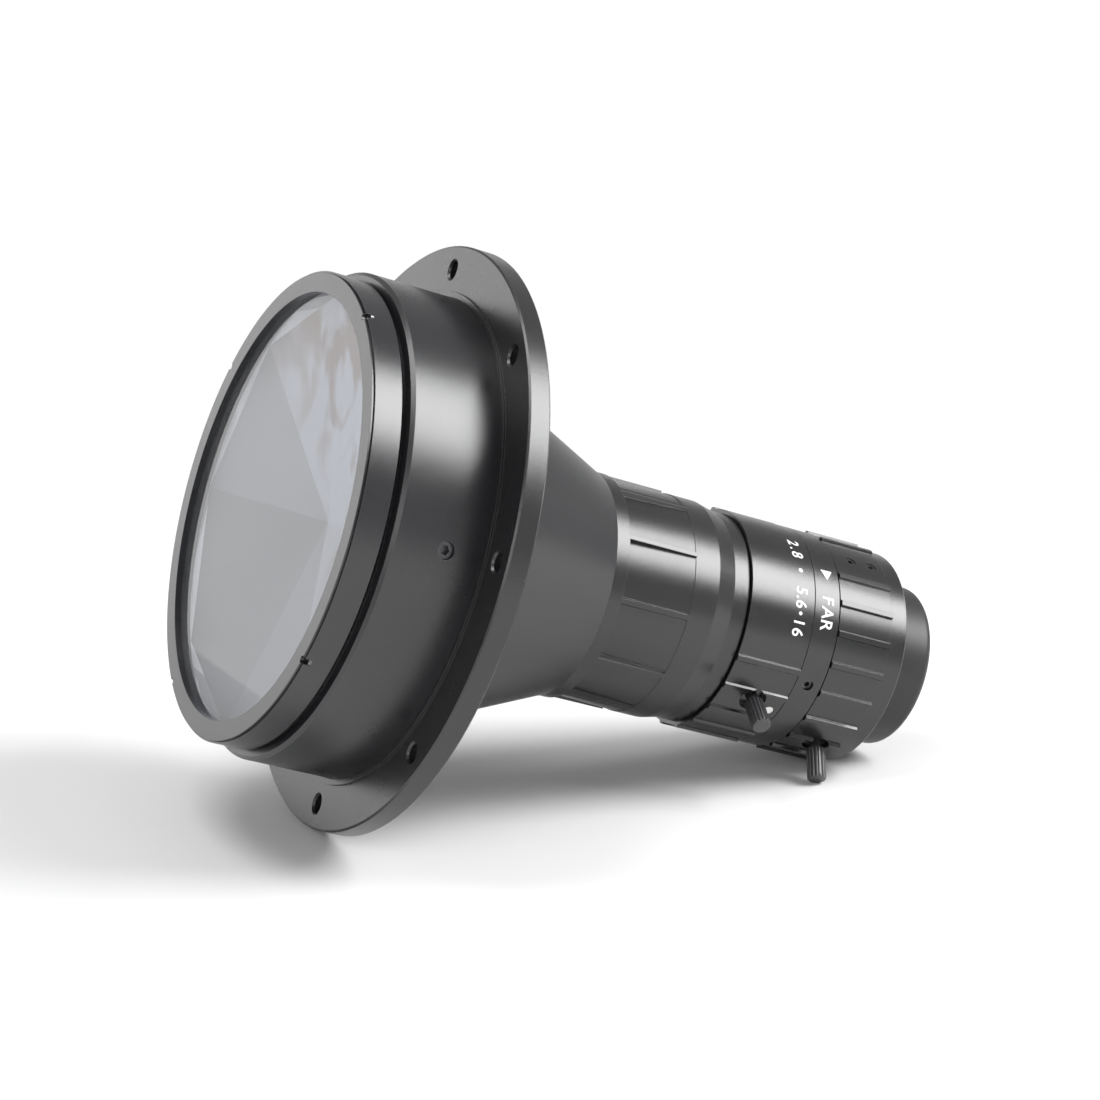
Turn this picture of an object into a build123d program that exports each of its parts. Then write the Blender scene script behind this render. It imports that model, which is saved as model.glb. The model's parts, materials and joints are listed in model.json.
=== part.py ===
"""Large machine vision lens: a faceted front glass in a flanged barrel, a cone, a fluted
sleeve and a small camera lens with iris and focus rings, lying on its flange and lock screw.

Every piece is drawn with the optical axis along Z, front at zero, then laid down at the end.
Lengths are in millimetres and angles in degrees.
"""
import os
from math import acos, atan2, cos, degrees, hypot, radians, sin, sqrt

from build123d import *

# Clearances
thread_gap = 0.03          # radial, between two threads of one assembly
running_gap = 0.05         # radial, between a turning ring and its seat
slide_gap = 0.04           # radial, between the focus cell and its bore
screw_gap = 0.05           # radial, around a screw that turns in its hole
end_gap = 0.15             # axial, at each end of a turning ring
glass_gap = 0.05           # radial, around each glass
glass_land = 1.6           # flat rim of a curved glass, where rings press
overcut = 1.0              # how far a cutter starts or ends clear of what it opens
ring_wall = 1.4            # of the rings and spacers that hold the glasses

# Front ring, front cell and faceted glass; their radii all follow the glass
glass_radius = 37.9
front_ring_overlap = 1.1   # of the ring over the glass
front_ring_flange = 1.2
front_ring_skirt = 2.4
skirt_gap = 0.35           # between the glass bore and the skirt
skirt_wall = 0.9
thread_ledge = 0.95        # from the skirt to the thread line on the face
cell_rim = 0.35            # of the cell outside the thread line
cell_step = 0.45           # the cell's face lies this far behind the ring's face
cell_band_end = 5.7
cell_bevel = 0.5
cell_wall = 1.45
cell_rear = 18.0
cell_shelf = 2.4           # how far the shelf behind the prism reaches in
window_thickness = 2.2
prism_thickness = 11.1
facet_count = 8
facet_border = 3.1         # from the glass edge to the flats of the pyramid's mouth
facet_depth = 8.4
facet_angle = 6.9          # of one corner of the pyramid's mouth
pit_radius = 0.65
pit_depth = 1.6
pit_angle = 39.4
pit_count = 4

# Main barrel
joint_groove = 0.6
barrel_wall = 2.57
barrel_length = 16.2
barrel_bevel = 0.6
barrel_screw_count = 3
barrel_screw_radius = 1.5
barrel_screw_angle = 95.6
barrel_screw_place = 9.4   # from the barrel's front edge
barrel_screw_sink = 0.7
socket_share = 0.5         # width across the flats of a hex socket over its screw's width

# Mounting flange
flange_reach = 9.0         # of the flange's rim beyond the barrel
flange_thickness = 3.9
flange_bevel = 0.3
flange_boss_width = 1.05
flange_boss_height = 0.45
bolt_reach = 4.75          # of the bolt circle beyond the barrel
bolt_count = 8
bolt_hole = 1.6            # radius
bolt_bevel = 0.35
bolt_angle = 5.3

# Cone housing
cone_step = 2.8            # from the cone's spigot down to its front edge
cone_rise = 0.1            # of the cone's rear edge over the sleeve
cone_length = 30.1
cone_wall = 2.2
cone_spigot_length = 4.1
cone_neck_length = 5.0
cone_neck_wall = 2.0
objective_gap = 0.5        # between the front cell and the glass
objective_ledge = 3.43     # of the barrel in front of the cone's spigot
objective_front_bulge = 2.9
objective_rear_wall = 1.1  # from the rear glass out to the sleeve's radius
objective_rear_length = 4.5
objective_rear_bulge = 1.3
objective_ring_length = 1.5
objective_stop_length = 2.0
objective_seat_margin = 2.0

# Fluted sleeve; its radii follow the rings behind it
sleeve_rise = 0.5          # over the iris ring
sleeve_wall = 2.57         # over the cone's neck
flute_depth_front = 1.0
flute_depth_rear = 0.5
sleeve_lip = 2.5
sleeve_flute = 13.3
sleeve_band_step = 0.4     # each step is down from the sleeve's radius
sleeve_band = 4.85
sleeve_taper = 3.55
sleeve_neck_step = 1.2
sleeve_neck = 2.9
sleeve_ribs = 11
sleeve_rib_angle = 64.7
sleeve_bore_step = 0.15    # of the sleeve's bore inside the core's
sleeve_shelf = 1.4
sleeve_shelf_reach = 1.55
rib_top = 0.9
rib_root = 0.4             # how far a rib reaches into its ring
rib_slope = 0.2            # how far each side of a rib leans out at its foot
relay_length = 4.5
relay_bulge = 1.2
relay_spacer_length = 4.5
field_length = 4.0
field_bulge = 0.9

# Fixed core of the camera lens; its radii follow the camera thread
core_reach = 4.5           # of the core beyond the camera thread
core_wall = 2.0
core_spigot_step = 1.05
core_spigot_length = 7.6
ring_rise = 2.4            # of the fixed band and the iris ring over the core
index_band = 5.0
band_screw_count = 3
band_screw_radius = 1.0
band_screw_angle = 116.1
band_screw_sink = 0.6
core_tail = 1.9            # what the mount ring's flange covers

# Iris ring and its lock screw
iris_ring_length = 12.75
iris_front_gap = 0.25
small_rib_count = 22
small_rib_rise = 0.4
iris_rib_angle = 110.5
iris_plain_start = 12.0    # the plain part carries the figures
iris_plain_end = 108.0
iris_low_deg = -15.0
iris_high_deg = 45.0
iris_screw_angle = 132.0
iris_screw_place = 6.85    # from the front of the iris ring
knob_radius = 1.7
knob_length = 5.85
knob_round = 0.4
knob_lift = 0.85           # from the ring's outside to the foot of the knob
knob_flutes = 16
knob_flute_radius = 0.2
shank_radius = 1.0
recess_radius = 2.4
recess_depth = 1.4
index_dot_radius = 0.95
index_dot_depth = 0.15
index_dot_angle = 136.5
index_dot_place = 10.9     # from the front of the iris ring

# Iris diaphragm
blade_count = 5
blade_thickness = 0.1
blade_pitch = 0.18
blade_lap = 0.1            # of an open blade over the edge of the bore
blade_width = 2.6
blade_span = 95.0
blade_ratio = 0.5          # blade turn for each degree of the iris ring
blade_rest_angle = 8.0     # of a blade from fully open, as drawn
pivot_reach = 1.2          # of the pivots beyond the blades' outer edge
pivot_radius = 0.4
pivot_gap = 0.05
pad_radius = 1.1
stud_angle = 13.0
stud_radius = 0.35
cam_slot = 0.5             # half width
blade_gap = 0.06           # axial, between the carrier and the first blade
cam_gap = 0.4              # axial, between the last blade and the cam ring
post_gap = 0.1             # axial, between the pivots and the cam ring
cam_thickness = 1.5
carrier_thickness = 1.2
iris_plate_width = 5.3
iris_place = 4.4           # carrier's front face from the front of the core's tube
iris_pin_radius = 0.5
iris_pin_angle = 250.0
iris_pin_depth = 1.3
slot_spare_angle = 1.0     # past the iris ring's limits, at each end of a slot
slot_gap = 0.15

# Focus ring, its screws and the moving cell
focus_gap = 0.3
focus_floor_step = 0.15    # each step is down from the fixed band
focus_rib_angle = 86.0
focus_rib_length = 10.7
focus_band = 3.6
focus_band_step = 0.35
focus_bevel = 0.3
focus_plain_start = 27.0   # the plain part carries the grub screws
focus_plain_end = 50.0
focus_low_deg = -90.0
focus_high_deg = 90.0
focus_travel = 1.0         # of the cell, for each quarter turn of the ring
focus_screw_angle = 155.0
focus_screw_place = 6.55   # from the front of the focus ring
grub_radius = 1.0
grub_length = 1.2
grub_angle = 38.5
grub_places = (3.9, 8.2)   # from the front of the focus ring
grub_sink = 0.2
cell_length = 11.0
cell_lead = 3.95           # of the cell in front of the focus ring
cell_tube_wall = 1.96
cell_stop = 1.0
cell_stop_reach = 1.6
focus_glass_length = 3.5   # at the rim
focus_glass_bulge = 1.0
cell_spacer_length = 2.0
cell_ring_length = 1.0
focus_pin_radius = 0.9
focus_pin_angle = 200.0
focus_pin_place = 5.4      # from the front of the cell
focus_pin_reach = 0.4      # beyond the core, into the groove of the focus ring
cam_groove_radius = 1.05
groove_spare_angle = 4.0

# Camera mount and rear cap
mount_flange_reach = 1.1
mount_spigot = 3.0
mount_spigot_wall = 1.77
thread_radius = 12.7
thread_length = 4.0
thread_wall = 1.5
rear_glass_length = 2.0
cap_side = 1.9
cap_length = 8.6
cap_round = 1.4
cap_wall = 1.6
cap_gap = 0.1
cap_travel = 12.0

# Radii that follow from the camera thread and the clearances
core_radius = thread_radius + core_reach
core_bore = core_radius - core_wall
core_spigot_radius = core_radius - core_spigot_step
ring_radius = core_radius + ring_rise
small_rib_top = ring_radius + small_rib_rise
focus_floor = ring_radius - focus_floor_step
focus_band_radius = ring_radius - focus_band_step
sleeve_radius = ring_radius + sleeve_rise
sleeve_floor_front = sleeve_radius - flute_depth_front
sleeve_floor_rear = sleeve_radius - flute_depth_rear
sleeve_band_radius = sleeve_radius - sleeve_band_step
sleeve_neck_radius = sleeve_radius - sleeve_neck_step
sleeve_bore = core_bore - sleeve_bore_step
sleeve_shelf_bore = sleeve_bore - sleeve_shelf_reach
objective_rear_radius = sleeve_radius - objective_rear_wall
iris_bore = core_bore - iris_plate_width
blade_inner = iris_bore - blade_lap
blade_outer = blade_inner + blade_width
pivot_circle = blade_outer + pivot_reach
iris_pin_root = core_bore - iris_pin_depth
cell_inner = core_bore - slide_gap - cell_tube_wall
cell_stop_bore = cell_inner - cell_stop_reach
focus_pin_tip = core_radius + focus_pin_reach
mount_flange_radius = core_radius + mount_flange_reach
mount_spigot_bore = core_bore - thread_gap - mount_spigot_wall
rear_glass_radius = mount_spigot_bore - 2 * glass_gap
thread_bore = thread_radius - thread_wall
cap_radius = thread_radius + cap_side

# Radii that follow from the front glass and the clearances
cell_bore = glass_radius + glass_gap
skirt_inner = cell_bore + skirt_gap
skirt_outer = skirt_inner + skirt_wall
front_ring_bore = glass_radius - front_ring_overlap
front_ring_rim = skirt_outer + thread_ledge
cell_radius = front_ring_rim + cell_rim
cell_spigot = cell_bore + cell_wall
cell_shelf_bore = glass_radius - cell_shelf
facet_apothem = glass_radius - facet_border
barrel_bore = cell_spigot + thread_gap
barrel_radius = barrel_bore + barrel_wall
flange_boss_radius = barrel_radius + flange_boss_width
flange_radius = barrel_radius + flange_reach
bolt_circle = 2 * (barrel_radius + bolt_reach)
objective_front_radius = barrel_bore - objective_ledge
cone_front_radius = objective_front_radius - cone_step
cone_rear_radius = sleeve_radius + cone_rise
cone_neck_radius = sleeve_radius - sleeve_wall - thread_gap
cone_neck_bore = cone_neck_radius - cone_neck_wall

# Stations along the axis that follow from the lengths
barrel_front = cell_band_end + joint_groove
flange_front = barrel_front + barrel_length
flange_rear = flange_front + flange_thickness
sleeve_front = flange_rear + cone_length
flute_start = sleeve_front + sleeve_lip
flute_end = flute_start + sleeve_flute
band_end = flute_end + sleeve_band
taper_end = band_end + sleeve_taper
sleeve_rear = taper_end + sleeve_neck
iris_front = sleeve_rear + iris_front_gap
iris_rear = iris_front + iris_ring_length
index_front = iris_rear + end_gap
index_rear = index_front + index_band
focus_front = index_rear + focus_gap
focus_rib_end = focus_front + focus_rib_length
focus_rear = focus_rib_end + focus_band
thread_end = focus_rear + thread_length
cap_front = focus_rear + cap_gap
cap_rear = cap_front + cap_length
window_front = front_ring_flange
prism_front = window_front + window_thickness
prism_rear = prism_front + prism_thickness
objective_front = cell_rear + objective_gap
objective_rear = flange_rear - cone_spigot_length
knob_foot = ring_radius + knob_lift
knob_tip = knob_foot + knob_length
iris_screw_z = iris_front + iris_screw_place
focus_screw_z = focus_front + focus_screw_place
carrier_front = sleeve_rear + iris_place
carrier_rear = carrier_front + carrier_thickness
cell_front = focus_front - cell_lead
cam_front = carrier_rear + blade_count * blade_pitch + cam_gap
cam_rear = cam_front + cam_thickness
cell_back = cell_front + cell_length
focus_pin_z = cell_front + focus_pin_place


# Shapes that several pieces use

def turned(*outline):
    """A solid of revolution about Z from (radius, height) points."""
    return revolve(Plane.XZ * make_face(Polyline(*outline, close=True)), Axis.Z)


def tube(inner, outer, start, end):
    return turned((inner, start), (outer, start), (outer, end), (inner, end))


def radial(angle, radius, height):
    """A place whose Z points away from the axis."""
    out = Vector(cos(radians(angle)), sin(radians(angle)), 0)
    spot = out * radius + Vector(0, 0, height)
    return Location(Plane(origin=spot, x_dir=(0, 0, 1), z_dir=out))


def post(radius, length):
    """A cylinder that stands on its own origin."""
    return Cylinder(radius, length, align=(Align.CENTER, Align.CENTER, Align.MIN))


def sector(inner, outer, start, end, low, high):
    """Part of a tube, from one angle to another."""
    face = make_face(Polyline((inner, start), (outer, start), (outer, end), (inner, end), close=True))
    return Rot(0, 0, low) * revolve(Plane.XZ * face, Axis.Z, revolution_arc=high - low)


def rib(top, floor, start, length):
    """A straight raised rib along the axis, with leaning sides, at angle zero."""
    half = rib_top / 2
    crest = sqrt(top * top - half * half)
    lean = half + rib_slope
    root = floor - rib_root
    outline = [(root, -lean), (floor, -lean), (crest, -half), (crest, half), (floor, lean), (root, lean)]
    return extrude(Pos(0, 0, start) * make_face(Polyline(*outline, close=True)), length)


def socket_screw(radius, length):
    """A set screw with its hex socket at the outer end, standing on its tip."""
    flats = radius * socket_share
    hexagon = RegularPolygon(radius=flats, side_count=6, major_radius=False)
    return post(radius, length) - Pos(0, 0, length / 2) * extrude(hexagon, length)


def face_edges(radius, height, bulge):
    """Half of a glass face, from its rim to the axis: a flat land, then flat or spherical."""
    if not bulge:
        return [Line((radius, height), (0, height))]
    start = radius - glass_land
    ball = (start * start + bulge * bulge) / (2 * abs(bulge))
    sag = abs(bulge) - ball + sqrt(ball * ball - start * start / 4)
    middle = height + sag * bulge / abs(bulge)
    arc = ThreePointArc((start, height), (start / 2, middle), (0, height + bulge))
    return [Line((radius, height), (start, height)), arc]


def lens(radius, front, back, front_bulge, back_bulge):
    """A round glass whose faces bulge out at the middle."""
    edges = face_edges(radius, front, -front_bulge) + face_edges(radius, back, back_bulge)
    edges.append(Line((0, front - front_bulge), (0, back + back_bulge)))
    edges.append(Line((radius, back), (radius, front)))
    return revolve(Plane.XZ * make_face(edges), Axis.Z)


def lock_screw(angle, height):
    """A thumbscrew with a fluted knob, whose tip ends in the wall of its ring."""
    tip = core_radius + 2 * running_gap
    foot = knob_foot - tip
    end = knob_tip - tip
    corner = knob_round * (1 - sqrt(0.5))
    start = (knob_radius, end - knob_round)
    arc = ThreePointArc(start, (knob_radius - corner, end - corner), (knob_radius - knob_round, end))
    outline = [
        Polyline((0, end), (0, 0), (shank_radius, 0), (shank_radius, foot), (knob_radius, foot)),
        Line((knob_radius, foot), start),
        arc,
        Line((knob_radius - knob_round, end), (0, end)),
    ]
    screw = revolve(Plane.XZ * make_face(outline), Axis.Z)
    for place in PolarLocations(knob_radius, knob_flutes):
        screw -= Pos(0, 0, foot) * place * post(knob_flute_radius, knob_length)
    return radial(angle, tip, height) * screw


def lock_screw_seat(angle, height):
    """What a lock screw's ring gives up: a threaded hole and a recess round the knob's foot."""
    hole = radial(angle, core_bore, height) * post(shank_radius + screw_gap, knob_tip)
    recess = radial(angle, ring_radius - recess_depth, height) * post(recess_radius, knob_tip)
    return hole + recess


# Front of the lens

def front_retaining_ring():
    skirt_end = front_ring_flange + front_ring_skirt
    ring = turned(
        (front_ring_bore, 0), (front_ring_rim, 0), (front_ring_rim, front_ring_flange),
        (skirt_outer, front_ring_flange), (skirt_outer, skirt_end), (skirt_inner, skirt_end),
        (skirt_inner, front_ring_flange), (front_ring_bore, front_ring_flange),
    )
    return ring - pits()


def pits():
    holes = []
    for place in PolarLocations(front_ring_rim, pit_count, pit_angle):
        holes.append(place * post(pit_radius, pit_depth))
    return Part() + holes


def front_lock_screws():
    screws = []
    for place in PolarLocations(front_ring_rim, pit_count, pit_angle):
        radius = pit_radius - screw_gap
        length = pit_depth - cell_step - front_ring_flange / 2
        screws.append(place * Pos(0, 0, pit_depth) * Rot(180, 0, 0) * socket_screw(radius, length))
    return Part() + screws


def front_cell():
    band = turned(
        (front_ring_rim + thread_gap, cell_step), (cell_radius, cell_step),
        (cell_radius, cell_band_end - cell_bevel), (cell_radius - cell_bevel, cell_band_end),
        (cell_spigot, cell_band_end), (cell_spigot, cell_rear), (cell_shelf_bore, cell_rear),
        (cell_shelf_bore, prism_rear), (cell_bore, prism_rear),
        (cell_bore, front_ring_flange + front_ring_skirt),
        (skirt_outer + thread_gap, front_ring_flange + front_ring_skirt),
        (skirt_outer + thread_gap, front_ring_flange), (front_ring_rim + thread_gap, front_ring_flange),
    )
    return band - pits()


def front_window():
    return Pos(0, 0, window_front) * post(glass_radius, window_thickness)


def facet_prism():
    """A thick glass whose front is a hollow eight sided pyramid."""
    block = Pos(0, 0, prism_front) * post(glass_radius, prism_thickness)
    mouth = RegularPolygon(radius=facet_apothem, side_count=facet_count, major_radius=False)
    slope = degrees(atan2(facet_apothem, facet_depth))
    hollow = extrude(Rot(0, 0, facet_angle) * mouth, facet_depth * 0.999, taper=slope)
    return block - Pos(0, 0, prism_front) * hollow


# Barrel, flange and cone

def main_barrel():
    barrel = turned(
        (barrel_bore, barrel_front), (barrel_radius - barrel_bevel, barrel_front),
        (barrel_radius, barrel_front + barrel_bevel), (barrel_radius, flange_rear),
        (objective_front_radius + glass_gap, flange_rear),
        (objective_front_radius + glass_gap, cell_rear + thread_gap),
        (barrel_bore, cell_rear + thread_gap),
    )
    for turn in range(barrel_screw_count):
        angle = barrel_screw_angle + turn * 360 / barrel_screw_count
        place = radial(angle, 0, barrel_front + barrel_screw_place)
        barrel -= place * post(barrel_screw_radius, barrel_radius + overcut)
    return barrel


def barrel_set_screws():
    screws = []
    for turn in range(barrel_screw_count):
        angle = barrel_screw_angle + turn * 360 / barrel_screw_count
        place = radial(angle, barrel_bore, barrel_front + barrel_screw_place)
        length = barrel_radius - barrel_screw_sink - barrel_bore
        screws.append(place * socket_screw(barrel_screw_radius - thread_gap, length))
    return Part() + screws


def mounting_flange():
    bore = barrel_radius + thread_gap
    flange = turned(
        (bore, flange_front - flange_boss_height), (flange_boss_radius, flange_front - flange_boss_height),
        (flange_boss_radius, flange_front), (flange_radius - flange_bevel, flange_front),
        (flange_radius, flange_front + flange_bevel), (flange_radius, flange_rear - flange_bevel),
        (flange_radius - flange_bevel, flange_rear), (bore, flange_rear),
    )
    for place in PolarLocations(bolt_circle / 2, bolt_count, bolt_angle):
        flange -= Pos(0, 0, flange_front) * place * post(bolt_hole, flange_thickness)
        upright = (Align.CENTER, Align.CENTER, Align.MIN)
        mouth = Cone(bolt_hole + bolt_bevel, bolt_hole, bolt_bevel, align=upright)
        flange -= Pos(0, 0, flange_front) * place * mouth
    return flange


def objective_front_lens():
    return lens(objective_front_radius, objective_front, objective_rear, objective_front_bulge, 0)


def cone_housing():
    spigot_front = flange_rear - cone_spigot_length
    stop = sleeve_front - objective_stop_length
    seat = stop - objective_rear_length - objective_ring_length - objective_seat_margin
    bore = objective_rear_radius + glass_gap
    slope = (cone_front_radius - cone_rear_radius) / cone_length
    seat_radius = cone_front_radius - cone_wall - slope * (seat - flange_rear)
    return turned(
        (cone_front_radius - cone_wall, spigot_front), (objective_front_radius, spigot_front),
        (objective_front_radius, flange_rear), (cone_front_radius, flange_rear),
        (cone_rear_radius, sleeve_front), (cone_neck_radius, sleeve_front),
        (cone_neck_radius, sleeve_front + cone_neck_length),
        (cone_neck_bore, sleeve_front + cone_neck_length),
        (cone_neck_bore, stop), (bore, stop), (bore, seat), (seat_radius, seat),
        (cone_front_radius - cone_wall, flange_rear),
    )


def objective_rear_lens():
    back = sleeve_front - objective_stop_length
    return lens(objective_rear_radius, back - objective_rear_length, back, objective_rear_bulge, 0)


def objective_retaining_ring():
    back = sleeve_front - objective_stop_length - objective_rear_length
    inner = objective_rear_radius - ring_wall
    return tube(inner, objective_rear_radius + glass_gap - thread_gap, back - objective_ring_length, back)


# Fluted sleeve with the relay glasses

def grip_sleeve():
    neck_end = sleeve_front + cone_neck_length + thread_gap
    shelf_end = neck_end + sleeve_shelf
    sleeve = turned(
        (cone_neck_radius + thread_gap, sleeve_front), (sleeve_radius, sleeve_front),
        (sleeve_radius, flute_start), (sleeve_floor_front, flute_start), (sleeve_floor_rear, flute_end),
        (sleeve_band_radius, flute_end), (sleeve_band_radius, band_end), (sleeve_neck_radius, taper_end),
        (sleeve_neck_radius, sleeve_rear), (core_spigot_radius + thread_gap, sleeve_rear),
        (core_spigot_radius + thread_gap, sleeve_rear - core_spigot_length),
        (sleeve_bore, sleeve_rear - core_spigot_length), (sleeve_bore, shelf_end),
        (sleeve_shelf_bore, shelf_end), (sleeve_shelf_bore, neck_end),
        (cone_neck_radius + thread_gap, neck_end),
    )
    one = rib(sleeve_radius, sleeve_floor_front, flute_start, sleeve_flute)
    pitch = 360 / sleeve_ribs
    return sleeve + [Rot(0, 0, sleeve_rib_angle + turn * pitch) * one for turn in range(sleeve_ribs)]


def relay_front():
    return sleeve_front + cone_neck_length + thread_gap + sleeve_shelf


def relay_lens():
    front = relay_front()
    return lens(sleeve_bore - glass_gap, front, front + relay_length, 0, relay_bulge)


def relay_spacer():
    front = relay_front() + relay_length
    outer = sleeve_bore - glass_gap
    return tube(outer - ring_wall, outer, front, sleeve_rear - core_spigot_length - field_length)


def field_lens():
    back = sleeve_rear - core_spigot_length
    return lens(sleeve_bore - glass_gap, back - field_length, back, field_bulge, 0)


# Fixed core of the camera lens

def lens_core():
    tail = focus_rear - core_tail
    core = turned(
        (core_bore, sleeve_rear - core_spigot_length), (core_spigot_radius, sleeve_rear - core_spigot_length),
        (core_spigot_radius, sleeve_rear), (core_radius, sleeve_rear), (core_radius, index_front),
        (ring_radius, index_front), (ring_radius, index_rear), (core_radius, index_rear), (core_radius, tail),
        (core_bore, tail),
    )
    half = iris_pin_radius + slot_gap
    margin = degrees(half / core_bore) + slot_spare_angle
    low = iris_pin_angle + iris_low_deg - margin
    high = iris_pin_angle + iris_high_deg + margin
    middle = iris_pin_z()
    core -= sector(core_bore - overcut, core_radius + overcut, middle - half, middle + half, low, high)
    wide = 2 * (focus_pin_radius + slide_gap)
    travel = focus_travel * (focus_high_deg - focus_low_deg) / 90
    middle = focus_pin_z + focus_travel * (focus_high_deg + focus_low_deg) / 180
    slot = SlotCenterToCenter(travel, wide)
    cutter = extrude(slot, core_radius - core_bore + 1.5 * overcut)
    core -= radial(focus_pin_angle, core_bore - overcut, middle) * cutter
    for turn in range(band_screw_count):
        angle = band_screw_angle + turn * 360 / band_screw_count
        place = radial(angle, core_radius, (index_front + index_rear) / 2)
        core -= place * post(band_screw_radius, ring_radius)
    return core


def band_set_screws():
    screws = []
    for turn in range(band_screw_count):
        angle = band_screw_angle + turn * 360 / band_screw_count
        place = radial(angle, core_radius, (index_front + index_rear) / 2)
        length = ring_radius - band_screw_sink - core_radius
        screws.append(place * socket_screw(band_screw_radius - thread_gap, length))
    return Part() + screws


# Iris ring, lock screw and diaphragm

def small_ribs(first, floor, start, length, plain_start, plain_end):
    """Proud ribs round a ring, left out where its plain part is."""
    pitch = 360 / small_rib_count
    angles = [(first + turn * pitch) % 360 for turn in range(small_rib_count)]
    one = rib(small_rib_top, floor, start, length)
    return [Rot(0, 0, angle) * one for angle in angles if not plain_start < angle < plain_end]


def iris_ring():
    ring = tube(core_radius + running_gap, ring_radius, iris_front, iris_rear)
    length = iris_ring_length
    ring += small_ribs(iris_rib_angle, ring_radius, iris_front, length, iris_plain_start, iris_plain_end)
    ring -= lock_screw_seat(iris_screw_angle, iris_screw_z)
    dot = radial(index_dot_angle, ring_radius - index_dot_depth, iris_front + index_dot_place)
    ring -= dot * post(index_dot_radius, ring_radius)
    pin = radial(iris_pin_angle, core_bore, iris_pin_z())
    return ring - pin * post(iris_pin_radius, iris_pin_tip() - core_bore)


def iris_pin_z():
    return (cam_front + cam_rear) / 2


def iris_pin_tip():
    return (core_radius + ring_radius) / 2


def iris_pin():
    pin = post(iris_pin_radius, iris_pin_tip() - iris_pin_root)
    return radial(iris_pin_angle, iris_pin_root, iris_pin_z()) * pin


def iris_carrier():
    """The fixed plate that carries the pivots of the blades."""
    plate = tube(iris_bore, core_bore - thread_gap, carrier_front, carrier_rear)
    for place in PolarLocations(pivot_circle, blade_count):
        plate += Pos(0, 0, carrier_rear) * place * post(pivot_radius, cam_front - carrier_rear - post_gap)
    return plate


def stud_spot(blade_angle):
    """Where a blade's drive stud stands when the blade has turned by an angle from fully open."""
    pivot = Vector(pivot_circle, 0, 0)
    arm = Vector(pivot_circle * cos(radians(stud_angle)), pivot_circle * sin(radians(stud_angle)), 0) - pivot
    return pivot + arm.rotate(Axis.Z, blade_angle)


def iris_blade(number):
    """A thin crescent on its pivot, with a drive stud that reaches into the cam ring."""
    level = carrier_rear + blade_gap + number * blade_pitch
    arm = blade_outer - blade_inner
    middle = (blade_outer + blade_inner) / 2
    crescent = sector(blade_inner, blade_outer, 0, blade_thickness, 0, blade_span)
    end = Rot(0, 0, blade_span) * Pos(middle, 0, 0) * post(arm / 2, blade_thickness)
    stud = stud_spot(0)
    pad = post(pad_radius, blade_thickness)
    root = Pos(pivot_circle, 0, 0) * pad + Pos(stud) * pad
    across = (stud - Vector(pivot_circle, 0, 0)).length
    web = Box(across, 2 * pad_radius, blade_thickness, align=(Align.CENTER, Align.CENTER, Align.MIN))
    centre = (stud + Vector(pivot_circle, 0, 0)) / 2
    root += Pos(centre) * Rot(0, 0, 90 + stud_angle / 2) * web
    root += sector(middle, pivot_circle, 0, blade_thickness, 0, stud_angle)
    blade = crescent + end + root
    blade -= Pos(pivot_circle, 0, 0) * post(pivot_radius + pivot_gap, blade_thickness)
    blade += Pos(stud) * post(stud_radius, cam_rear - end_gap - level)
    about = Pos(pivot_circle, 0, 0) * Rot(0, 0, blade_rest_angle) * Pos(-pivot_circle, 0, 0)
    return Rot(0, 0, number * 360 / blade_count) * Pos(0, 0, level) * about * blade


def iris_cam_ring():
    """The ring that turns with the iris ring and drives every stud along a cam slot."""
    plate = tube(iris_bore, core_bore - 2 * running_gap, cam_front, cam_rear)
    spots = []
    low = iris_low_deg - slot_spare_angle
    high = iris_high_deg + slot_spare_angle
    for ring_turn in (low, (low + high) / 2, high):
        spot = stud_spot(blade_rest_angle + blade_ratio * ring_turn)
        spots.append(spot.rotate(Axis.Z, -ring_turn))
    slot = SlotArc(ThreePointArc(*spots), 2 * cam_slot)
    cutter = Pos(0, 0, cam_front) * extrude(slot, cam_thickness)
    plate -= [Rot(0, 0, number * 360 / blade_count) * cutter for number in range(blade_count)]
    pin = radial(iris_pin_angle, iris_pin_root, iris_pin_z())
    return plate - pin * post(iris_pin_radius, core_bore)


def iris_retainer():
    front = cam_rear + end_gap
    return tube(iris_bore, core_bore - thread_gap, front, front + carrier_thickness)


# Focus ring, its screws and the cell that it drives

def focus_ring():
    bore = core_radius + running_gap
    counterbore = mount_flange_radius + end_gap
    step = focus_rear - core_tail - end_gap
    ring = turned(
        (bore, focus_front), (focus_floor, focus_front), (focus_floor, focus_rib_end),
        (focus_band_radius, focus_rib_end), (focus_band_radius, focus_rear - focus_bevel),
        (focus_band_radius - focus_bevel, focus_rear), (counterbore, focus_rear), (counterbore, step),
        (bore, step),
    )
    length = focus_rib_length
    ring += small_ribs(focus_rib_angle, focus_floor, focus_front, length, focus_plain_start, focus_plain_end)
    ring -= lock_screw_seat(focus_screw_angle, focus_screw_z)
    for place in grub_places:
        ring -= radial(grub_angle, core_bore, focus_front + place) * post(grub_radius, ring_radius)
    return ring - cam_groove()


def cam_groove():
    """The helical groove that turns the ring's angle into the cell's travel."""
    low = focus_pin_angle - focus_high_deg - groove_spare_angle
    high = focus_pin_angle - focus_low_deg + groove_spare_angle
    lead = 4 * focus_travel
    rise = lead * (high - low) / 360
    path = Helix(pitch=lead, height=rise, radius=core_radius + running_gap)
    section = Plane(origin=path @ 0, z_dir=path % 0) * Circle(cam_groove_radius)
    groove = sweep(section, path=path, is_frenet=True)
    start = focus_pin_z - lead * (focus_pin_angle - low) / 360
    return Pos(0, 0, start) * Rot(0, 0, low) * groove


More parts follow.
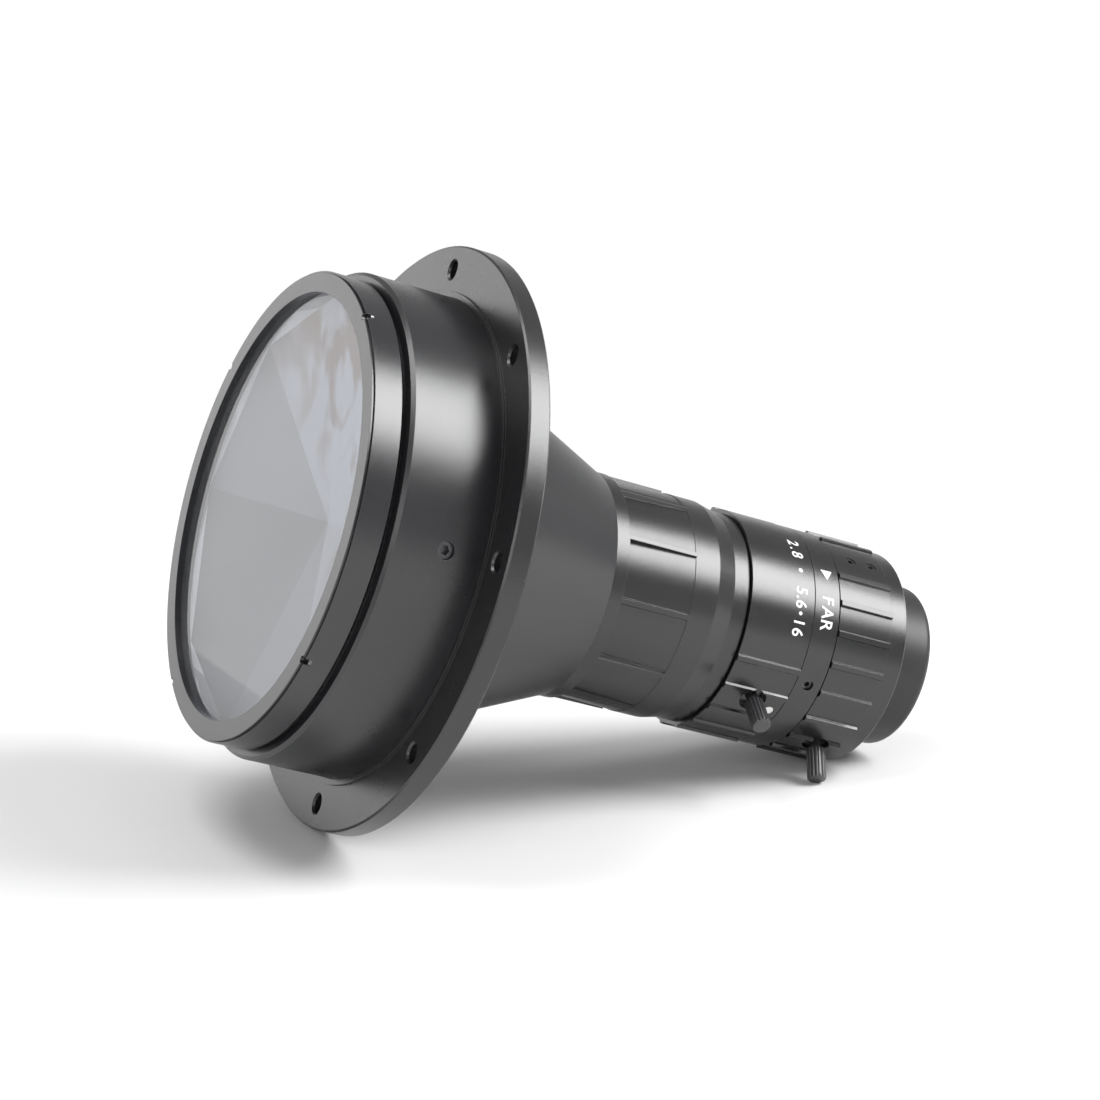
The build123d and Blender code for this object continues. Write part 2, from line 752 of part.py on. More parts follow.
def focus_grub_screws():
    screws = []
    tip = focus_floor - grub_sink - grub_length
    for place in grub_places:
        screw = socket_screw(grub_radius - thread_gap, grub_length)
        screws.append(radial(grub_angle, tip, focus_front + place) * screw)
    return Part() + screws


def focus_cell():
    outer = core_bore - slide_gap
    stop = cell_back - cell_stop
    cell = turned(
        (cell_inner, cell_front), (outer, cell_front), (outer, cell_back), (cell_stop_bore, cell_back),
        (cell_stop_bore, stop), (cell_inner, stop),
    )
    hole = radial(focus_pin_angle, cell_inner - overcut, focus_pin_z)
    return cell - hole * post(focus_pin_radius, focus_pin_tip)


def focus_pin():
    root = cell_inner + glass_gap
    return radial(focus_pin_angle, root, focus_pin_z) * post(focus_pin_radius, focus_pin_tip - root)


def focus_rear_lens():
    back = cell_back - cell_stop
    return lens(cell_inner - glass_gap, back - focus_glass_length, back, focus_glass_bulge, 0)


def focus_spacer():
    back = cell_back - cell_stop - focus_glass_length
    outer = cell_inner - glass_gap
    return tube(outer - ring_wall, outer, focus_front_lens_back(), back)


def focus_front_lens_back():
    return cell_front + cell_ring_length + focus_glass_length


def focus_front_lens():
    front = cell_front + cell_ring_length
    return lens(cell_inner - glass_gap, front, focus_front_lens_back(), 0, focus_glass_bulge)


def focus_retaining_ring():
    outer = cell_inner - thread_gap
    return tube(outer - ring_wall, outer, cell_front, cell_front + cell_ring_length)


# Camera mount, rear glass and cap

def mount_ring():
    """Flange, inner spigot and the plain body of the camera thread."""
    flange = focus_rear - core_tail
    spigot = core_bore - thread_gap
    return turned(
        (mount_spigot_bore, flange - mount_spigot), (spigot, flange - mount_spigot), (spigot, flange),
        (mount_flange_radius, flange), (mount_flange_radius, focus_rear), (thread_radius, focus_rear),
        (thread_radius, thread_end), (thread_bore, thread_end), (thread_bore, flange),
        (mount_spigot_bore, flange),
    )


def rear_glass():
    back = focus_rear - core_tail
    return Pos(0, 0, back - rear_glass_length) * post(rear_glass_radius, rear_glass_length)


def rear_cap():
    """A cup over the camera thread, with a rounded rear edge."""
    inner = thread_radius + thread_gap
    floor = cap_rear - cap_wall
    bend = cap_round * (1 - sqrt(0.5))
    outline = [
        Polyline((0, cap_rear), (0, floor), (inner, floor), (inner, cap_front), (cap_radius, cap_front)),
        Line((cap_radius, cap_front), (cap_radius, cap_rear - cap_round)),
        ThreePointArc(
            (cap_radius, cap_rear - cap_round), (cap_radius - bend, cap_rear - bend),
            (cap_radius - cap_round, cap_rear),
        ),
        Line((cap_radius - cap_round, cap_rear), (0, cap_rear)),
    ]
    return revolve(Plane.XZ * make_face(outline), Axis.Z)


# How the lens lies: flange rim, focus ring rim and the focus lock screw's knob touch the table

def resting_tilt():
    """Angle of the axis below level, from the two rims."""
    fall = flange_radius - focus_band_radius
    run = focus_rear - focus_bevel - (flange_rear - flange_bevel)
    return degrees(atan2(fall, run))


def resting_roll():
    """Angle round the axis from the focus lock screw to straight down."""
    tilt = radians(resting_tilt())
    depth = flange_radius * cos(tilt) + (flange_rear - flange_bevel) * sin(tilt)
    reach = knob_tip - knob_round
    edge = knob_radius - knob_round
    share = (depth - focus_screw_z * sin(tilt) - knob_round) / hypot(reach, edge)
    lean = atan2(edge, reach) + acos(share)
    return degrees(acos(cos(lean) / cos(tilt)))


def resting_place():
    """From the drawn frame to the lying one, with the flange's rear centre at the origin."""
    tilt = radians(resting_tilt())
    down = radians(focus_screw_angle + resting_roll())
    axis = Vector(cos(tilt), 0, -sin(tilt))
    under = Vector(-sin(tilt), 0, -cos(tilt))
    across = under * cos(down) - Vector(0, 1, 0) * sin(down)
    return Location(Plane(origin=(0, 0, 0), x_dir=across, z_dir=axis)) * Pos(0, 0, -flange_rear)


def pieces():
    made = {
        "front_retaining_ring": front_retaining_ring(),
        "front_lock_screws": front_lock_screws(),
        "front_cell": front_cell(),
        "front_window": front_window(),
        "facet_prism": facet_prism(),
        "main_barrel": main_barrel(),
        "barrel_set_screws": barrel_set_screws(),
        "mounting_flange": mounting_flange(),
        "objective_front_lens": objective_front_lens(),
        "cone_housing": cone_housing(),
        "objective_rear_lens": objective_rear_lens(),
        "objective_retaining_ring": objective_retaining_ring(),
        "grip_sleeve": grip_sleeve(),
        "relay_lens": relay_lens(),
        "relay_spacer": relay_spacer(),
        "field_lens": field_lens(),
        "lens_core": lens_core(),
        "band_set_screws": band_set_screws(),
        "iris_ring": iris_ring(),
        "iris_lock_screw": lock_screw(iris_screw_angle, iris_screw_z),
        "iris_pin": iris_pin(),
        "iris_carrier": iris_carrier(),
        "iris_cam_ring": iris_cam_ring(),
        "iris_retainer": iris_retainer(),
        "focus_ring": focus_ring(),
        "focus_lock_screw": lock_screw(focus_screw_angle, focus_screw_z),
        "focus_grub_screws": focus_grub_screws(),
        "focus_cell": focus_cell(),
        "focus_pin": focus_pin(),
        "focus_front_lens": focus_front_lens(),
        "focus_spacer": focus_spacer(),
        "focus_rear_lens": focus_rear_lens(),
        "focus_retaining_ring": focus_retaining_ring(),
        "mount_ring": mount_ring(),
        "rear_glass": rear_glass(),
        "rear_cap": rear_cap(),
    }
    for number in range(blade_count):
        made[f"iris_blade_{number + 1}"] = iris_blade(number)
    return made


def main():
    os.makedirs("parts", exist_ok=True)
    place = resting_place()
    for name, shape in pieces().items():
        export_step(place * shape, f"parts/{name}.step")


main()
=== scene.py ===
import json
from math import cos, degrees, pi, radians, sin

import bpy
from mathutils import Matrix, Vector


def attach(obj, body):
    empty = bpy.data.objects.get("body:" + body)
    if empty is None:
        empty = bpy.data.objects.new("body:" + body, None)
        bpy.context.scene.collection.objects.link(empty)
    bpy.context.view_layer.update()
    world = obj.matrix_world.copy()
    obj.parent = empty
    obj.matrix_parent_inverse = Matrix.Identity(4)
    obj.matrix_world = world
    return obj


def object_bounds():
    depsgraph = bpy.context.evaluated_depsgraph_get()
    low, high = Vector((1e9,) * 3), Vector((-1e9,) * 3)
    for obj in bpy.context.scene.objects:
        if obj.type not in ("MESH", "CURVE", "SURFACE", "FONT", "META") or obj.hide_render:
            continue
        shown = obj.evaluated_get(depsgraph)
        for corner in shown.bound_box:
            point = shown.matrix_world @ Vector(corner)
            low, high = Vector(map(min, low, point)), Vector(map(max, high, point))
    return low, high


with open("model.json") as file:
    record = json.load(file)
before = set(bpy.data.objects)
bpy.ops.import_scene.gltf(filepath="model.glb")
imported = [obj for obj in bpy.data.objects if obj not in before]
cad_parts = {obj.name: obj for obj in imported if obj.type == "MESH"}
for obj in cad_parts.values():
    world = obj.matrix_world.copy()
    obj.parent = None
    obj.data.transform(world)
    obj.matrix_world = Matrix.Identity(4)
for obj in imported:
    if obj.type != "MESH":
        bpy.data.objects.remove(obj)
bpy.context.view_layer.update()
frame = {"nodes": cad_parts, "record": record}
nodes = frame["nodes"]
record = frame["record"]
print("stage: frame loaded")

# The lens's own frame: Z is the optical axis, from the front face towards the camera
lay = {
    "tilt": 19.4417,       # degrees that the axis falls towards the camera end
    "down": 192.5277,      # degrees round the axis to the side that points at the table
    "flangeRear": 0.0264,  # metres from the front face to the flange's rear, the shared frame's origin
}
metre = 1000.0             # in millimetres, which the lens's own sizes are given in


def lensMatrix():
    tilt = radians(lay["tilt"])
    down = radians(lay["down"])
    axis = Vector((cos(tilt), 0, -sin(tilt)))
    under = Vector((-sin(tilt), 0, -cos(tilt)))
    across = under * cos(down) - Vector((0, 1, 0)) * sin(down)
    side = axis.cross(across)
    turn = Matrix((across, side, axis)).transposed().to_4x4()
    return turn @ Matrix.Translation((0, 0, -lay["flangeRear"]))


lensFrame = lensMatrix()


def spot(radius, angle, height):
    # A place on the lens, from millimetres and degrees
    a = radians(angle)
    return lensFrame @ (Vector((radius * cos(a), radius * sin(a), height)) / metre)


def acrossLens(angle):
    # A unit vector across the lens, at an angle in degrees round its axis
    a = radians(angle)
    return lensFrame.to_3x3() @ Vector((cos(a), sin(a), 0))


def alongLens():
    return lensFrame.to_3x3() @ Vector((0, 0, 1))


# Short ways to write material nodes: a value is a constant or the output of another node
def addNode(tree, kind, **values):
    node = tree.nodes.new(kind)
    for key, value in values.items():
        setattr(node, key, value)
    return node


def plug(tree, value, socket):
    if isinstance(value, bpy.types.NodeSocket):
        tree.links.new(value, socket)
    else:
        socket.default_value = value


def mathNode(tree, operation, first, second, clamp=False):
    node = addNode(tree, "ShaderNodeMath", operation=operation, use_clamp=clamp)
    plug(tree, first, node.inputs[0])
    plug(tree, second, node.inputs[1])
    return node.outputs[0]


def dotNode(tree, first, second):
    node = addNode(tree, "ShaderNodeVectorMath", operation="DOT_PRODUCT")
    plug(tree, first, node.inputs[0])
    plug(tree, second, node.inputs[1])
    return node.outputs["Value"]


def rangeNode(tree, value, low, high, ease="LINEAR", reach=(0.0, 1.0)):
    # Takes what lies from low to high to the two ends of reach
    node = addNode(tree, "ShaderNodeMapRange", interpolation_type=ease)
    node.inputs["From Min"].default_value = low
    node.inputs["From Max"].default_value = high
    node.inputs["To Min"].default_value = reach[0]
    node.inputs["To Max"].default_value = reach[1]
    plug(tree, value, node.inputs["Value"])
    return node.outputs[0]


def noiseNode(tree, place, size, detail, distortion=0.0):
    node = addNode(tree, "ShaderNodeTexNoise")
    node.inputs["Detail"].default_value = detail
    node.inputs["Distortion"].default_value = distortion
    plug(tree, place, node.inputs["Vector"])
    plug(tree, size, node.inputs["Scale"])
    return node.outputs["Fac"]


def blendColours(tree, share, first, second):
    node = addNode(tree, "ShaderNodeMix", data_type="RGBA")
    plug(tree, share, node.inputs["Factor"])
    plug(tree, first, node.inputs["A"])
    plug(tree, second, node.inputs["B"])
    return node.outputs["Result"]


def blendShaders(tree, share, first, second):
    node = addNode(tree, "ShaderNodeMixShader")
    plug(tree, share, node.inputs["Fac"])
    plug(tree, first, node.inputs[1])
    plug(tree, second, node.inputs[2])
    return node.outputs[0]


def objectPlace(tree):
    return addNode(tree, "ShaderNodeTexCoord").outputs["Object"]


def newMaterial(name):
    material = bpy.data.materials.new(name)
    material.use_nodes = True
    tree = material.node_tree
    tree.nodes.clear()
    return material, tree


def finishMaterial(tree, shader):
    out = addNode(tree, "ShaderNodeOutputMaterial")
    plug(tree, shader, out.inputs["Surface"])


# The camera that was fitted to the photo
view = {
    "place": (-0.19499, -0.53368, 0.13445),
    "forward": (0.37294, 0.89804, -0.23333),
    "up": (0.09996, 0.21113, 0.97234),
    "lens": 112.21,
    "sensor": 36.0,
    "nearest": 0.01,
}


def addCamera():
    data = bpy.data.cameras.new("photoCamera")
    data.lens = view["lens"]
    data.sensor_fit = "HORIZONTAL"
    data.sensor_width = view["sensor"]
    data.clip_start = view["nearest"]
    camera = bpy.data.objects.new("photoCamera", data)
    bpy.context.scene.collection.objects.link(camera)
    forward = Vector(view["forward"]).normalized()
    right = forward.cross(Vector(view["up"])).normalized()
    up = right.cross(forward)
    turn = Matrix((right, up, -forward)).transposed().to_4x4()
    camera.matrix_world = Matrix.Translation(view["place"]) @ turn
    bpy.context.scene.camera = camera


# A seamless table that curves up into a wall
table = {
    "radius": 1.3,           # level part
    "bend": 0.35,            # radius of the curve from table to wall
    "wallHeight": 0.45,
    "around": 96,
    "bendSteps": 12,
    "colour": (0.86, 0.86, 0.86, 1),
    "roughness": 0.7,
    "specular": 0.2,
    "fadeStart": 0.12,       # metres from the flange where the table starts to burn out
    "fadeEnd": 0.34,
}


def tableProfile():
    # Radius and height, from the middle out and up
    points = [(0.0, 0.0), (table["radius"], 0.0)]
    for step in range(1, table["bendSteps"] + 1):
        a = pi / 2 * step / table["bendSteps"]
        points.append((table["radius"] + table["bend"] * sin(a), table["bend"] * (1 - cos(a))))
    points.append((points[-1][0], table["wallHeight"]))
    return points


def tableMaterial():
    # Shaded near the lens; farther off the camera sees it burnt out to white
    material, tree = newMaterial("paleTable")
    shader = addNode(tree, "ShaderNodeBsdfPrincipled")
    shader.inputs["Base Color"].default_value = table["colour"]
    shader.inputs["Roughness"].default_value = table["roughness"]
    shader.inputs["Specular IOR Level"].default_value = table["specular"]
    glare = addNode(tree, "ShaderNodeEmission")
    distance = addNode(tree, "ShaderNodeVectorMath", operation="LENGTH")
    plug(tree, objectPlace(tree), distance.inputs[0])
    fade = rangeNode(tree, distance.outputs["Value"], table["fadeStart"], table["fadeEnd"], "SMOOTHSTEP")
    path = addNode(tree, "ShaderNodeLightPath")
    share = mathNode(tree, "MULTIPLY", fade, path.outputs["Is Camera Ray"])
    finishMaterial(tree, blendShaders(tree, share, shader.outputs[0], glare.outputs[0]))
    return material


def addTable():
    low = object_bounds()[0][2]
    profile = tableProfile()
    count = table["around"]
    verts = [(0, 0, low)]
    for radius, height in profile[1:]:
        for turn in range(count):
            a = 2 * pi * turn / count
            verts.append((radius * cos(a), radius * sin(a), low + height))
    faces = [(0, 1 + turn, 1 + (turn + 1) % count) for turn in range(count)]
    for ring in range(len(profile) - 2):
        start = 1 + ring * count
        for turn in range(count):
            after = (turn + 1) % count
            faces.append((start + turn, start + count + turn, start + count + after, start + after))
    mesh = bpy.data.meshes.new("seamlessTable")
    mesh.from_pydata(verts, [], faces)
    mesh.polygons.foreach_set("use_smooth", [True] * len(mesh.polygons))
    mesh.materials.append(tableMaterial())
    floor = bpy.data.objects.new("seamlessTable", mesh)
    bpy.context.scene.collection.objects.link(floor)


# Light
room = {"colour": (1.0, 1.0, 1.0, 1), "strength": 0.42}

lamps = {
    "softBox": {"place": (0.76, -0.40, 0.70), "aim": (0.03, 0, 0), "size": (0.62, 0.62), "power": 14.0},
    "overhead": {"place": (-0.35, 0.10, 1.15), "aim": (0, 0, 0), "size": (0.7, 0.5), "power": 6.0},
    "sidePanel": {"place": (-0.42, 0.86, 0.10), "aim": (0, 0, 0), "size": (0.5, 0.45), "power": 0.8},
    "frontFill": {"place": (-0.85, -0.75, 0.55), "aim": (0, 0, 0), "size": (0.5, 0.5), "power": 3.5},
}


def addRoom():
    world = bpy.data.worlds.new("studio")
    bpy.context.scene.world = world
    world.use_nodes = True
    back = world.node_tree.nodes["Background"]
    back.inputs["Color"].default_value = room["colour"]
    back.inputs["Strength"].default_value = room["strength"]


def addLamps():
    for name, lamp in lamps.items():
        data = bpy.data.lights.new(name, "AREA")
        data.shape = "RECTANGLE"
        data.size, data.size_y = lamp["size"]
        data.energy = lamp["power"]
        light = bpy.data.objects.new(name, data)
        bpy.context.scene.collection.objects.link(light)
        light.location = lamp["place"]
        aim = Vector(lamp["aim"]) - Vector(lamp["place"])
        light.rotation_euler = aim.to_track_quat("-Z", "Y").to_euler()


# One finish for all hard surfaces: fine grain, cloudy roughness, light dust and a painted highlight that
# makes sharp edges paler
hardFinishInputs = {
    "Colour": "NodeSocketColor",
    "Roughness": "NodeSocketFloat",
    "Metallic": "NodeSocketFloat",
    "Grain Size": "NodeSocketFloat",
    "Grain Depth": "NodeSocketFloat",
    "Cloud": "NodeSocketFloat",
    # share of the painted highlight on sharp edges
    "Dust": "NodeSocketFloat",
    "Edge Width": "NodeSocketFloat",
    "Painted Edge Highlight": "NodeSocketFloat",
    "Specular": "NodeSocketFloat",
}

surface = {
    "grainDetail": 4,
    "grainHeight": 0.0001,               # metres
    "cloudSize": 60,
    "cloudDetail": 5,
    "cloudMiddle": 0.5,
    "bevelSamples": 3,
    "edgeFrom": 0.995,                   # cosine of the turn at which the painted edge highlight starts
    "edgeTo": 0.8,
    # colour of the painted highlight on sharp edges
    "paintedEdgeHighlightColour": (0.42, 0.42, 0.43, 1),
    "speckSize": 1400,
    "speckDetail": 2,
    "speckFrom": 0.62,
    "speckTo": 0.78,
    "dustColour": (0.45, 0.44, 0.42, 1),
}


def makeHardFinish():
    group = bpy.data.node_groups.new("hardFinish", "ShaderNodeTree")
    for name, kind in hardFinishInputs.items():
        group.interface.new_socket(name, in_out="INPUT", socket_type=kind)
    group.interface.new_socket("Shader", in_out="OUTPUT", socket_type="NodeSocketShader")
    given = addNode(group, "NodeGroupInput").outputs
    place = objectPlace(group)

    # Roughness that varies softly over the surface
    cloud = noiseNode(group, place, surface["cloudSize"], surface["cloudDetail"])
    centred = mathNode(group, "SUBTRACT", cloud, surface["cloudMiddle"])
    shift = mathNode(group, "MULTIPLY", centred, given["Cloud"])
    rough = mathNode(group, "ADD", given["Roughness"], shift, clamp=True)

    # Painted highlight: the colour is paler where the surface turns sharply
    bevel = addNode(group, "ShaderNodeBevel", samples=surface["bevelSamples"])
    plug(group, given["Edge Width"], bevel.inputs["Radius"])
    solid = addNode(group, "ShaderNodeNewGeometry")
    turned = dotNode(group, bevel.outputs[0], solid.outputs["Normal"])
    paintedEdgeHighlightMask = rangeNode(group, turned, surface["edgeFrom"], surface["edgeTo"])
    paintedEdgeHighlightShare = mathNode(group, "MULTIPLY", paintedEdgeHighlightMask, given["Painted Edge Highlight"])
    colour = blendColours(group, paintedEdgeHighlightShare, given["Colour"], surface["paintedEdgeHighlightColour"])

    # Specks of dust
    speck = noiseNode(group, place, surface["speckSize"], surface["speckDetail"])
    dust = rangeNode(group, speck, surface["speckFrom"], surface["speckTo"])
    dustShare = mathNode(group, "MULTIPLY", dust, given["Dust"])
    colour = blendColours(group, dustShare, colour, surface["dustColour"])

    # Fine grain over the rounded edges
    bump = addNode(group, "ShaderNodeBump")
    bump.inputs["Distance"].default_value = surface["grainHeight"]
    plug(group, given["Grain Depth"], bump.inputs["Strength"])
    plug(group, noiseNode(group, place, given["Grain Size"], surface["grainDetail"]), bump.inputs["Height"])
    plug(group, bevel.outputs[0], bump.inputs["Normal"])

    shader = addNode(group, "ShaderNodeBsdfPrincipled")
    plug(group, colour, shader.inputs["Base Color"])
    plug(group, rough, shader.inputs["Roughness"])
    plug(group, given["Metallic"], shader.inputs["Metallic"])
    plug(group, given["Specular"], shader.inputs["Specular IOR Level"])
    plug(group, bump.outputs[0], shader.inputs["Normal"])
    end = addNode(group, "NodeGroupOutput")
    plug(group, shader.outputs[0], end.inputs["Shader"])
    return group


hardFinish = makeHardFinish()

finishDefaults = {
    "Metallic": 0.0,
    "Grain Size": 9000.0,
    "Grain Depth": 0.10,
    "Cloud": 0.05,
    "Dust": 0.02,
    "Edge Width": 0.00012,
    # share of the painted highlight on sharp edges
    "Painted Edge Highlight": 0.2,
    "Specular": 0.75,
}

finishes = {
    "black_anodised_front": {"Colour": (0.010, 0.010, 0.012, 1), "Roughness": 0.26},
    "black_anodised_barrel": {"Colour": (0.010, 0.010, 0.012, 1), "Roughness": 0.28},
    "black_anodised_flange": {"Colour": (0.008, 0.008, 0.009, 1), "Roughness": 0.27},
    "black_anodised_cone": {"Colour": (0.010, 0.010, 0.012, 1), "Roughness": 0.30},
    "black_anodised_sleeve": {"Colour": (0.010, 0.010, 0.011, 1), "Roughness": 0.26},
    "black_anodised_camera_lens": {"Colour": (0.008, 0.008, 0.009, 1), "Roughness": 0.23},
    "matt_black_inner": {"Colour": (0.012, 0.012, 0.012, 1), "Roughness": 0.7, "Specular": 0.4},
    "black_oxide_steel": {"Colour": (0.03, 0.03, 0.032, 1), "Roughness": 0.26},
    "dark_screws": {"Colour": (0.10, 0.10, 0.105, 1), "Roughness": 0.3, "Metallic": 0.9},
    "bright_screws": {"Colour": (0.16, 0.16, 0.165, 1), "Roughness": 0.28, "Metallic": 1.0},
    "bright_steel": {"Colour": (0.6, 0.6, 0.62, 1), "Roughness": 0.2, "Metallic": 1.0},
    "blade_steel": {"Colour": (0.04, 0.04, 0.04, 1), "Roughness": 0.55, "Metallic": 0.6},
    "black_plastic_cap": {"Colour": (0.018, 0.018, 0.019, 1), "Roughness": 0.42, "Specular": 0.5},
}


def hardMaterial(name, values):
    material, tree = newMaterial(name)
    use = addNode(tree, "ShaderNodeGroup", node_tree=hardFinish)
    for key, value in {**finishDefaults, **values}.items():
        use.inputs[key].default_value = value
    finishMaterial(tree, use.outputs["Shader"])
    return material


# The flat window and the lenses
glasses = {
    "window_glass": {
        "tint": (0.92, 0.93, 0.95, 1),
        "haze": (0.0, 0.2),                  # least and most share of haze
        "hazeColour": (0.34, 0.34, 0.35, 1),
        "cloudSize": 25.0,
        "cloudDetail": 4,
        "shine": 0.03,
        "index": 1.5,
    },
    "optical_glass": {
        "tint": (0.85, 0.92, 0.9, 1),
        "haze": (0.0, 0.04),
        "hazeColour": (0.1, 0.12, 0.12, 1),
        "cloudSize": 40.0,
        "cloudDetail": 4,
        "shine": 0.02,
        "index": 1.5,
    },
}


def glassMaterial(name, glass):
    # Partly clear, a little hazy, and a mirror of the room at a glance
    material, tree = newMaterial(name)
    cloud = noiseNode(tree, objectPlace(tree), glass["cloudSize"], glass["cloudDetail"])
    clear = addNode(tree, "ShaderNodeBsdfTransparent")
    clear.inputs["Color"].default_value = glass["tint"]
    haze = addNode(tree, "ShaderNodeBsdfDiffuse")
    haze.inputs["Color"].default_value = glass["hazeColour"]
    hazeShare = rangeNode(tree, cloud, 0.0, 1.0, reach=glass["haze"])
    body = blendShaders(tree, hazeShare, clear.outputs[0], haze.outputs[0])
    shine = addNode(tree, "ShaderNodeBsdfGlossy")
    shine.inputs["Roughness"].default_value = glass["shine"]
    # Only a face seen from outside reflects, because the clear part doesn't bend the light
    fresnel = addNode(tree, "ShaderNodeFresnel")
    fresnel.inputs["IOR"].default_value = glass["index"]
    solid = addNode(tree, "ShaderNodeNewGeometry")
    outside = mathNode(tree, "SUBTRACT", 1.0, solid.outputs["Backfacing"])
    shineShare = mathNode(tree, "MULTIPLY", fresnel.outputs[0], outside)
    finishMaterial(tree, blendShaders(tree, shineShare, body, shine.outputs[0]))
    return material


# The prism, whose facets take a painted shade from the way they face the room's light; one side is mottled
# brown, a painted reflection of the room
prism = {
    "light": (0.50, 0.52, 0.56, 1),     # painted light: the tone of facets that face the room's light
    # painted shade: the tone of facets turned away from the room's light
    "paintedShadeTone": (0.20, 0.20, 0.20, 1),
    "paintedLightFrom": 225.0,                 # degrees round the axis, where the painted light comes from
    "lean": 0.24,                       # part of a facet's normal that points across the lens
    "paintedReflectionBrown": (0.24, 0.165, 0.14, 1),    # painted reflection: stands for reflections of the room
    "paintedReflectionFrom": 45.0,                  # degrees round the axis, the side with the painted reflection
    "paintedReflectionReach": (-0.008, 0.022),      # metres from the axis where it starts and is full
    "mottleSize": 55.0,
    "mottleDetail": 3,
    "mottleBend": 1.2,
    "mottleFrom": 0.42,
    "mottleTo": 0.58,
    "border": (0.80, 0.81, 0.84, 1),    # flat rim between the pyramid and the ring
    "borderFrom": 0.985,                # cosine between its normal and the axis
    "borderTo": 0.997,
    "shine": 0.45,
}


def prismMaterial(name):
    material, tree = newMaterial(name)
    place = objectPlace(tree)
    normal = addNode(tree, "ShaderNodeNewGeometry").outputs["Normal"]
    # Painted shade: facets turned towards the light side get the light tone, the others the dark one
    across = dotNode(tree, normal, acrossLens(prism["paintedLightFrom"]))
    paintedLitShare = rangeNode(tree, across, -prism["lean"], prism["lean"], "SMOOTHSTEP")
    tone = blendColours(tree, paintedLitShare, prism["paintedShadeTone"], prism["light"])
    # Painted reflection: mottled brown patches on one side of the prism
    mottle = noiseNode(tree, place, prism["mottleSize"], prism["mottleDetail"], prism["mottleBend"])
    paintedReflectionPatch = rangeNode(tree, mottle, prism["mottleFrom"], prism["mottleTo"], "SMOOTHSTEP")
    offAxis = dotNode(tree, place, acrossLens(prism["paintedReflectionFrom"]))
    side = rangeNode(tree, offAxis, *prism["paintedReflectionReach"], "SMOOTHSTEP")
    tone = blendColours(tree, mathNode(tree, "MULTIPLY", paintedReflectionPatch, side), tone, prism["paintedReflectionBrown"])
    forward = dotNode(tree, normal, -alongLens())
    flat = rangeNode(tree, forward, prism["borderFrom"], prism["borderTo"], "SMOOTHSTEP")
    tone = blendColours(tree, flat, tone, prism["border"])
    shader = addNode(tree, "ShaderNodeBsdfPrincipled")
    shader.inputs["Roughness"].default_value = prism["shine"]
    plug(tree, tone, shader.inputs["Base Color"])
    finishMaterial(tree, shader.outputs[0])
    return material


def dressNodes():
    made = {name: hardMaterial(name, values) for name, values in finishes.items()}
    made.update({name: glassMaterial(name, glass) for name, glass in glasses.items()})
    made["prism_glass"] = prismMaterial("prism_glass")
    slots = {part["node"]: part["material_slot"] for part in record["subparts"]}
    for name, node in nodes.items():
        node.data.materials.clear()
        node.data.materials.append(made[slots[name]])


dressNodes()
print("stage: finishes done")

# White figures, letters and marks, wrapped on the rings; angles in degrees, sizes in millimetres
marks = {
    "radius": 19.6,               # of the plain lands that carry them
    "lift": 0.035,                # over the metal
    "capitalShare": 0.69,         # height of a capital as a share of the font's size
    "thicken": 0.02,              # added to the strokes, as a share of the height
    "curveSteps": 6,
    "dotSides": 24,
    "figureHeight": 2.15,
    "irisPlace": 93.9,            # along the axis
    "irisFigures": (
        ("2", 37.0), (".", 41.8), ("8", 46.3),
        ("5", 68.6), (".", 72.5), ("6", 76.1),
        ("1", 85.6), ("6", 90.8),
    ),
    "irisDots": ((56.6, 0.42), (80.8, 0.34)),     # angle, radius
    "indexAngle": 136.5,          # the large dot beside the lock screw
    "indexPlace": 94.75,
    "indexSize": 0.92,
    "indexRadius": 19.5,
    "letterHeight": 2.3,
    "bandPlace": 99.35,
    "bandLetters": (("F", 70.5), ("A", 77.1), ("R", 83.9)),
    "arrowAngle": 55.4,
    "arrowHalfLength": 1.0,
    "arrowHalfWidth": 1.15,
}


def textOutline(sign, size):
    # A flat filled outline of one character, centred, in millimetres
    curve = bpy.data.curves.new("sign", "FONT")
    curve.body = sign
    curve.size = size / marks["capitalShare"]
    curve.offset = marks["thicken"] * size
    curve.resolution_u = marks["curveSteps"]
    holder = bpy.data.objects.new("sign", curve)
    bpy.context.scene.collection.objects.link(holder)
    bpy.context.view_layer.update()
    mesh = bpy.data.meshes.new_from_object(holder)
    points = [tuple(vertex.co) for vertex in mesh.vertices]
    faces = [tuple(face.vertices) for face in mesh.polygons]
    bpy.data.objects.remove(holder)
    bpy.data.curves.remove(curve)
    bpy.data.meshes.remove(mesh)
    middle = (min(p[0] for p in points) + max(p[0] for p in points)) / 2
    return [(p[0] - middle, p[1] - size / 2) for p in points], faces


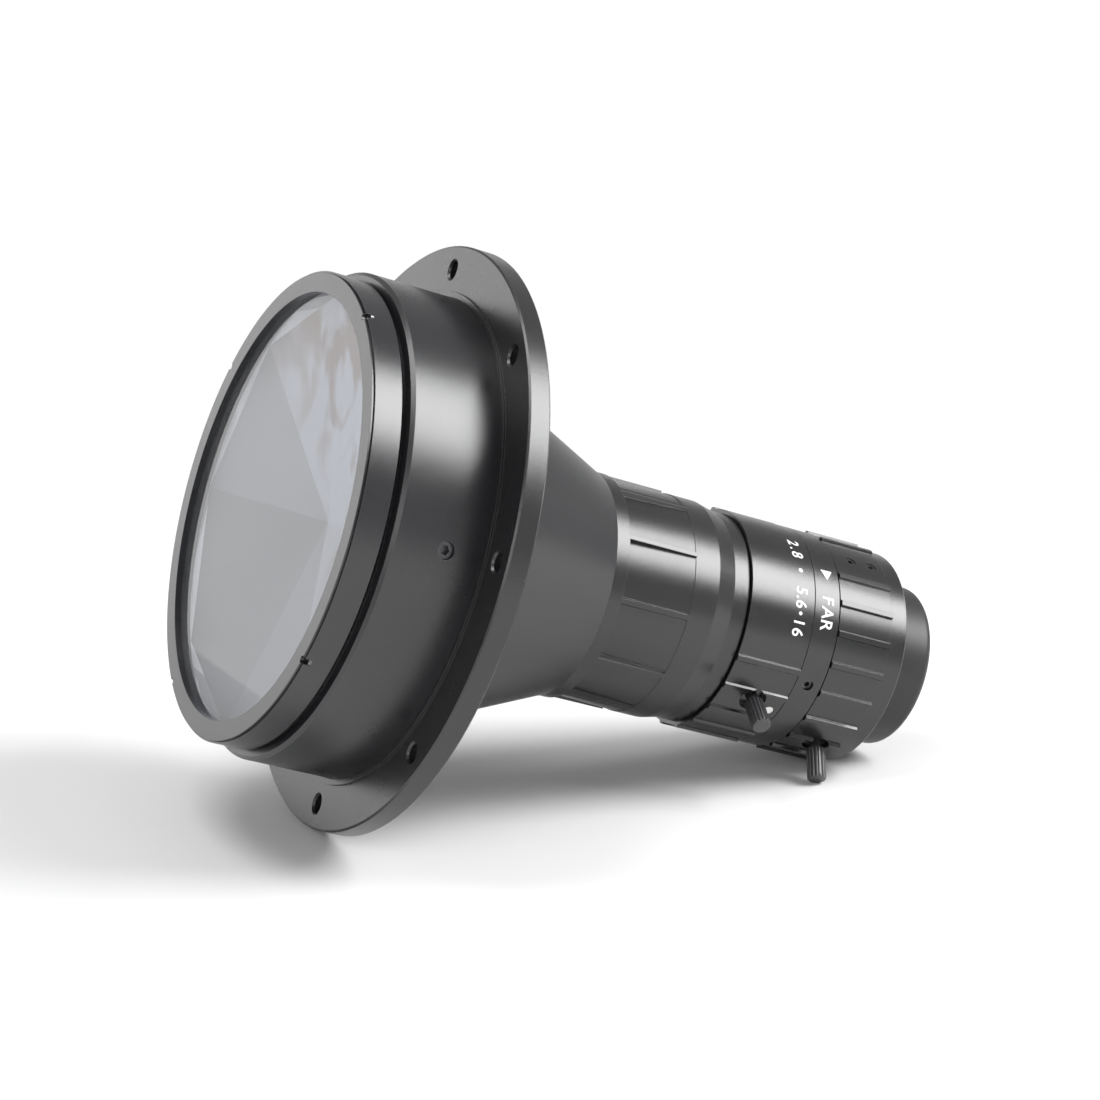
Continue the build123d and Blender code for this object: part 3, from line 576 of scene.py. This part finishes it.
def discOutline(radius):
    count = marks["dotSides"]
    points = [(radius * cos(2 * pi * k / count), radius * sin(2 * pi * k / count)) for k in range(count)]
    return points, [tuple(range(count))]


def arrowOutline(halfLength, halfWidth):
    return [(-halfLength, -halfWidth), (halfLength, 0), (-halfLength, halfWidth)], [(0, 1, 2)]


class Wrap:
    # Collects flat outlines and lays them on a cylinder of the lens

    def __init__(self):
        self.verts = []
        self.faces = []

    def add(self, outline, radius, angle, height):
        points, faces = outline
        start = len(self.verts)
        for x, y in points:
            self.verts.append(spot(radius, angle + degrees(x / radius), height + y))
        self.faces += [tuple(start + k for k in face) for face in faces]

    def build(self, name, body, material):
        mesh = bpy.data.meshes.new(name)
        mesh.from_pydata([tuple(v) for v in self.verts], [], self.faces)
        mesh.materials.append(material)
        piece = bpy.data.objects.new(name, mesh)
        bpy.context.scene.collection.objects.link(piece)
        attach(piece, body)


paint = hardMaterial("white_paint", {
    "Colour": (0.80, 0.80, 0.78, 1),
    "Roughness": 0.5,
    "Specular": 0.4,
    "Dust": 0.0,
    "Painted Edge Highlight": 0.0,
})


def addMarks():
    radius = marks["radius"] + marks["lift"]
    iris = Wrap()
    for sign, angle in marks["irisFigures"]:
        iris.add(textOutline(sign, marks["figureHeight"]), radius, angle, marks["irisPlace"])
    for angle, size in marks["irisDots"]:
        iris.add(discOutline(size), radius, angle, marks["irisPlace"])
    index = discOutline(marks["indexSize"])
    iris.add(index, marks["indexRadius"], marks["indexAngle"], marks["indexPlace"])
    iris.build("iris_figures", "iris_ring", paint)
    band = Wrap()
    for sign, angle in marks["bandLetters"]:
        band.add(textOutline(sign, marks["letterHeight"]), radius, angle, marks["bandPlace"])
    arrow = arrowOutline(marks["arrowHalfLength"], marks["arrowHalfWidth"])
    band.add(arrow, radius, marks["arrowAngle"], marks["bandPlace"])
    band.build("band_letters", "housing", paint)


addMarks()
print("stage: marks done")

addTable()
addRoom()
addLamps()
addCamera()
bpy.context.scene.view_settings.view_transform = "Standard"
print("stage: studio done")
